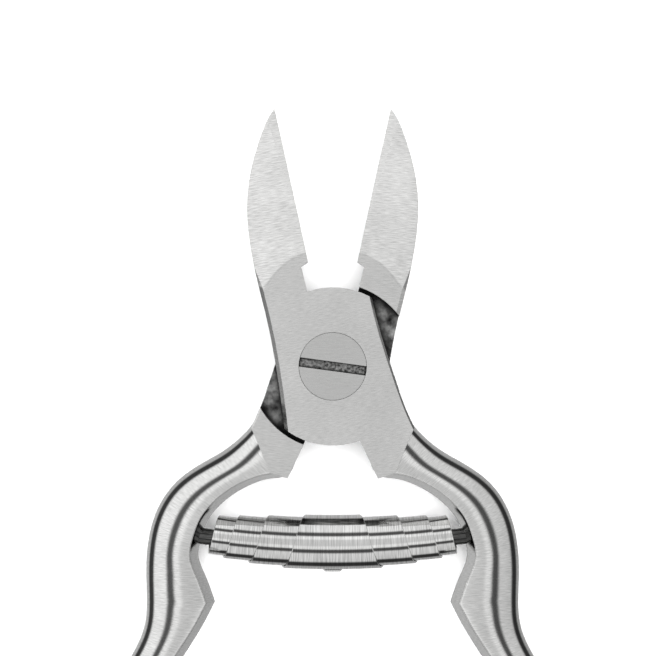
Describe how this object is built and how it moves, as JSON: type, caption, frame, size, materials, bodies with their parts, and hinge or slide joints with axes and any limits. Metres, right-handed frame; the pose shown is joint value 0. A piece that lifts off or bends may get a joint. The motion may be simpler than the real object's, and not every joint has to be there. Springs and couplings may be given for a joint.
{
  "type": "nail nipper",
  "caption": "Plier-type nail nipper: crossed steel levers in a lap joint with a slotted pivot screw, straight cutting jaws and a rolled barrel spring between bowed handles.",
  "frame": {"origin": "where the pivot axis meets the rear cheek of the lap joint, which the nipper rests on", "axes": "+Z out of the front face along the pivot axis, +Y towards the jaws' points, +X to the right seen from the front"},
  "size_m": [0.074, 0.1376, 0.009],
  "materials": {
    "lever_steel": "satin, brushed across the blades and handles",
    "screw_steel": "satin, fine brushed",
    "spring_steel": "rolled spring strip, half bright",
    "stud_steel": "turned pin"
  },
  "bodies": {
    "rear_lever_body": {"rear_lever": "lever_steel", "pivot_screw": "screw_steel", "left_spring_stud": "stud_steel"},
    "front_lever_body": {"front_lever": "lever_steel", "right_spring_stud": "stud_steel"},
    "spring_body": {"barrel_spring": "spring_steel"}
  },
  "joints": [
    {"name": "lever_hinge", "type": "hinge", "parent": "rear_lever_body", "child": "front_lever_body", "pos_m": [0, 0, 0.0045], "axis": [0, 0, -1], "range_deg": [0, 25.2], "stiffness_Nm_per_rad": 1.5, "springref_deg": -5.73},
    {"name": "spring_follow", "type": "hinge", "parent": "rear_lever_body", "child": "spring_body", "pos_m": [0, 0, 0.0045], "axis": [0, 0, -1], "range_deg": [0, 12.6], "deforming": ["barrel_spring"]}
  ],
  "couplings": [
    {"joint": "spring_follow", "follows": "lever_hinge", "ratio": 0.5}
  ]
}
